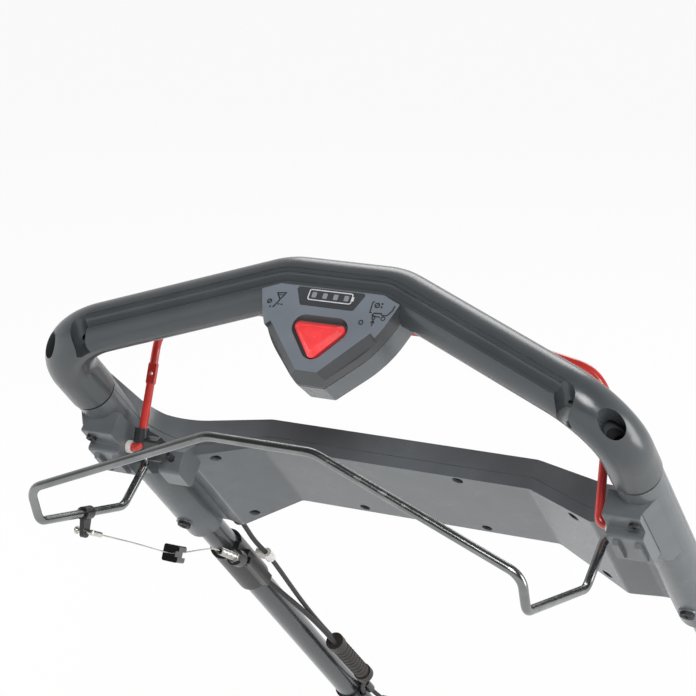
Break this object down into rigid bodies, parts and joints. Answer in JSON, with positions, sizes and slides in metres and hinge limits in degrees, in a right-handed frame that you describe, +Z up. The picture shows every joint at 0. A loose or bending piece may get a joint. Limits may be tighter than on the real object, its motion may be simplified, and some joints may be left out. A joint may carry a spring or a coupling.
{
  "type": "lawn mower handle",
  "caption": "Raked push handle for a walk-behind mower: closed grip hoop with control pod and start button, swinging presence and drive bails, cross-beam, tubes, drive cable and wiring.",
  "frame": {"origin": "midway between the two tubes, on the common axis of the fold-bolt holes at their lower ends", "axes": "+X to the operator's right along the fold bolts, +Y forward to the mower, +Z up; the tubes stand at their working rake"},
  "size_m": [0.5094, 0.7049, 0.6771],
  "materials": {
    "grip_plastic": "satin moulded dark grey",
    "tube_paint": "glossy dark grey powder coat",
    "black_plastic": "satin moulded black",
    "screw_steel": "blackened steel",
    "drive_bail_plate": "polished gunmetal plating",
    "presence_bail_paint": "glossy red paint",
    "display_plastic": "smoked glossy window",
    "light_plastic": "clear moulded light guide",
    "button_plastic": "satin moulded red",
    "board_laminate": "green laminate",
    "zinc_steel": "bright zinc plate",
    "cable_rubber": "matt black sheath",
    "white_nylon": "natural nylon"
  },
  "bodies": {
    "handle_frame": {"adjuster_barrel": "zinc_steel", "adjuster_nuts": "zinc_steel", "cable_band": "black_plastic", "cable_bracket": "black_plastic", "cable_sheath": "cable_rubber", "cap_screws": "screw_steel", "control_board": "board_laminate", "crossbeam_lower_shell": "grip_plastic", "crossbeam_upper_shell": "grip_plastic", "display_window": "display_plastic", "grip_front_shell": "grip_plastic", "grip_rear_shell": "grip_plastic", "harness_clip": "white_nylon", "harness_coupling": "black_plastic", "harness_grommet": "cable_rubber", "harness_plug": "black_plastic", "left_pivot_cap": "grip_plastic", "left_tube": "tube_paint", "leg_bolts": "screw_steel", "light_guides": "light_plastic", "pivot_bushes": "white_nylon", "pod_cover": "grip_plastic", "pod_tray": "grip_plastic", "presence_switch": "black_plastic", "right_pivot_cap": "grip_plastic", "right_tube": "tube_paint", "sheath_end": "zinc_steel", "shell_screws": "screw_steel", "start_switch": "black_plastic", "switch_housing": "black_plastic", "tube_end_plugs": "black_plastic", "wire_harness": "cable_rubber"},
    "presence_bail": {"presence_bail": "presence_bail_paint", "presence_cam": "black_plastic"},
    "drive_bail": {"drive_bail": "drive_bail_plate", "cable_tab": "drive_bail_plate"},
    "cable_end": {"cable_eye": "zinc_steel", "drive_wire": "zinc_steel", "cable_stop_block": "black_plastic"},
    "start_button": {"start_button": "button_plastic"}
  },
  "joints": [
    {"name": "presence_bail_swing", "type": "hinge", "parent": "handle_frame", "child": "presence_bail", "pos_m": [0, -0.5208, 0.46988], "axis": [1, 0, 0], "range_deg": [0, 24], "stiffness_Nm_per_rad": 0.3, "springref_deg": -28.65},
    {"name": "drive_bail_swing", "type": "hinge", "parent": "handle_frame", "child": "drive_bail", "pos_m": [0, -0.50659, 0.4561], "axis": [-1, 0, 0], "range_deg": [0, 46], "deforming": ["drive_wire"]},
    {"name": "cable_end_turn", "type": "hinge", "parent": "drive_bail", "child": "cable_end", "pos_m": [-0.2025, -0.60342, 0.42375], "axis": [-1, 0, 0], "range_deg": [-31, 1]},
    {"name": "start_button_press", "type": "slide", "parent": "handle_frame", "child": "start_button", "axis": [0, 0.7734, -0.6339], "range_m": [0, 0.003], "stiffness_N_per_m": 400, "springref_m": -0.002}
  ],
  "couplings": [
    {"joint": "cable_end_turn", "follows": "drive_bail_swing", "ratio": -0.669}
  ]
}
